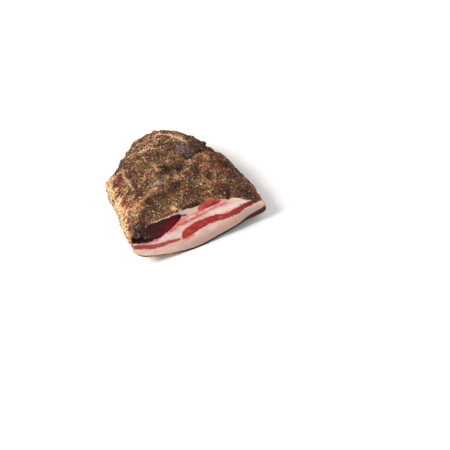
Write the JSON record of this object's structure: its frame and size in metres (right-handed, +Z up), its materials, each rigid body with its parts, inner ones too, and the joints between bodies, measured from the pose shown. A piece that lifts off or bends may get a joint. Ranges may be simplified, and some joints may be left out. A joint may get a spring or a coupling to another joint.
{
  "type": "peppered cured pork jowl (guanciale)",
  "caption": "Cured pork jowl with a cracked-pepper crust, cut across to show rind, white fat and streaks of lean, resting on its rind.",
  "frame": {"origin": "centre of the footprint, on the surface that the rind rests on", "axes": "+X along the cut from its left end to its right, +Y from the cut into the meat, +Z up"},
  "size_m": [0.1824, 0.1896, 0.0707],
  "materials": {
    "crust": "dry, rough cracked pepper over browned meat and fat",
    "lean": "moist, fine-grained cured lean",
    "muscle": "dark, glossy dried lean",
    "fat": "waxy, slightly translucent white fat",
    "rind": "smooth, hard, amber-brown skin",
    "pepper": "cracked peppercorns, dull black to tan"
  },
  "bodies": {
    "root": {"jowl": "crust", "lean_thick": "lean", "lean_thin": "lean", "cheek_muscle": "muscle", "upper_lean": "lean"}
  },
  "joints": []
}
